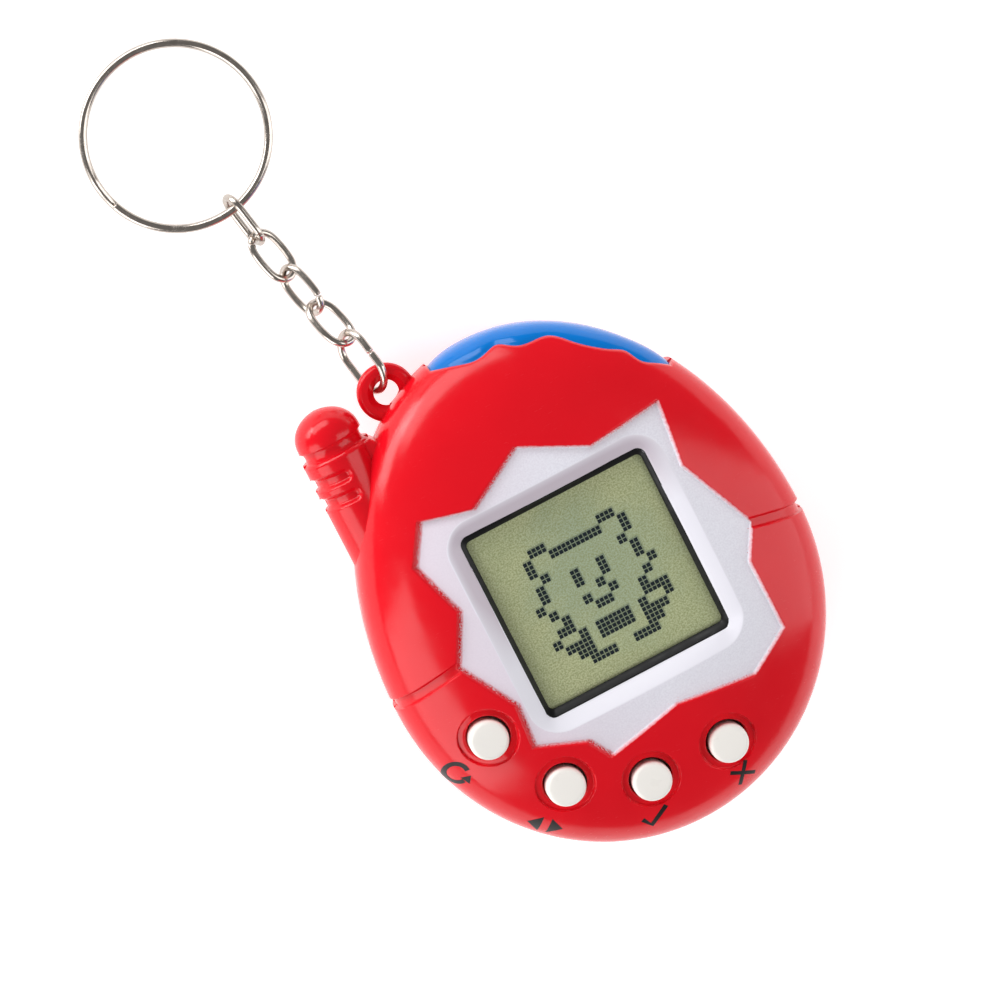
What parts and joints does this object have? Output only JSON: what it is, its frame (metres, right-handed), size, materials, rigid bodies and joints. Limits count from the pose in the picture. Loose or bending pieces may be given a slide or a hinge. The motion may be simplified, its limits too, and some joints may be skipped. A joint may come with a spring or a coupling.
{
  "type": "virtual pet keychain",
  "caption": "Egg-shaped handheld virtual pet game with an LCD, push buttons, a dummy antenna, and a chain with a split ring.",
  "frame": {"origin": "centre of the flat back of the egg, on its battery cover", "axes": "+X to the right of the screen, +Y to the top of the egg and the chain, +Z out of the screen"},
  "size_m": [0.0528, 0.1035, 0.019],
  "materials": {
    "red_plastic": "glossy moulded",
    "blue_plastic": "glossy moulded",
    "black_plastic": "satin",
    "button_plastic": "satin",
    "clear_plastic": "clear",
    "lcd_glass": "grey-green polariser",
    "rubber": "silicone",
    "board": "solder mask",
    "resin": "cast resin",
    "steel": "plated",
    "nickel": "nickel-plated wire",
    "brass": "plain"
  },
  "bodies": {
    "root": {"front_shell": "red_plastic", "rear_shell": "red_plastic", "top_cap": "blue_plastic", "screen_bezel": "black_plastic", "window_lens": "clear_plastic", "lcd_panel": "lcd_glass", "zebra_strip_upper": "rubber", "zebra_strip_lower": "rubber", "circuit_board": "board", "chip_blob": "resin", "keypad_mat": "rubber", "case_screws": "steel", "button_cell_left": "steel", "button_cell_right": "steel", "battery_contact_left": "nickel", "battery_contact_right": "nickel", "piezo_sounder": "brass"},
    "button_reset": {"button_reset": "button_plastic"},
    "button_select": {"button_select": "button_plastic"},
    "button_decide": {"button_decide": "button_plastic"},
    "button_cancel": {"button_cancel": "button_plastic"},
    "battery_cover": {"battery_cover": "red_plastic", "cell_bridge_contact": "nickel"},
    "battery_cover_screw": {"battery_cover_screw": "steel"},
    "chain_link_5": {"chain_link_5": "nickel"},
    "chain_link_4": {"chain_link_4": "nickel"},
    "chain_link_3": {"chain_link_3": "nickel"},
    "chain_link_2": {"chain_link_2": "nickel"},
    "chain_link_1": {"chain_link_1": "nickel"},
    "key_ring": {"key_ring": "nickel"}
  },
  "joints": [
    {"name": "reset_press", "type": "slide", "parent": "root", "child": "button_reset", "axis": [0, 0, -1], "range_m": [0, 0.0008], "stiffness_N_per_m": 300, "springref_m": -0.0005, "deforming": ["keypad_mat"]},
    {"name": "select_press", "type": "slide", "parent": "root", "child": "button_select", "axis": [0, 0, -1], "range_m": [0, 0.0008], "stiffness_N_per_m": 300, "springref_m": -0.0005, "deforming": ["keypad_mat"]},
    {"name": "decide_press", "type": "slide", "parent": "root", "child": "button_decide", "axis": [0, 0, -1], "range_m": [0, 0.0008], "stiffness_N_per_m": 300, "springref_m": -0.0005, "deforming": ["keypad_mat"]},
    {"name": "cancel_press", "type": "slide", "parent": "root", "child": "button_cancel", "axis": [0, 0, -1], "range_m": [0, 0.0008], "stiffness_N_per_m": 300, "springref_m": -0.0005, "deforming": ["keypad_mat"]},
    {"name": "cover_lift", "type": "slide", "parent": "root", "child": "battery_cover", "axis": [0, 0, -1], "range_m": [0, 0.02]},
    {"name": "cover_screw_turn", "type": "hinge", "parent": "battery_cover", "child": "battery_cover_screw", "pos_m": [0, -0.0086, 0], "axis": [0, 0, -1], "continuous": true},
    {"name": "ear_swing", "type": "hinge", "parent": "root", "child": "chain_link_5", "pos_m": [-0.01036, 0.03073, 0.00875], "axis": [0.9799, 0.1994, 0], "range_deg": [-10, 35]},
    {"name": "link_4_swing", "type": "hinge", "parent": "chain_link_5", "child": "chain_link_4", "pos_m": [-0.01123, 0.03585, 0.00665], "axis": [0.529, 0.3968, 0.7501], "range_deg": [-35, 35]},
    {"name": "link_3_swing", "type": "hinge", "parent": "chain_link_4", "child": "chain_link_3", "pos_m": [-0.01239, 0.04023, 0.00454], "axis": [0.8101, -0.0655, -0.5826], "range_deg": [-35, 35]},
    {"name": "link_2_swing", "type": "hinge", "parent": "chain_link_3", "child": "chain_link_2", "pos_m": [-0.0135, 0.04473, 0.00267], "axis": [0.5834, 0.43, 0.689], "range_deg": [-35, 35]},
    {"name": "link_1_swing", "type": "hinge", "parent": "chain_link_2", "child": "chain_link_1", "pos_m": [-0.01456, 0.04961, 0.0024], "axis": [0.8162, 0.148, -0.5584], "range_deg": [-35, 35]},
    {"name": "ring_swing", "type": "hinge", "parent": "chain_link_1", "child": "key_ring", "pos_m": [-0.01543, 0.05453, 0.00232], "axis": [0.2685, 0.0644, 0.9611], "range_deg": [-30, 30]}
  ]
}
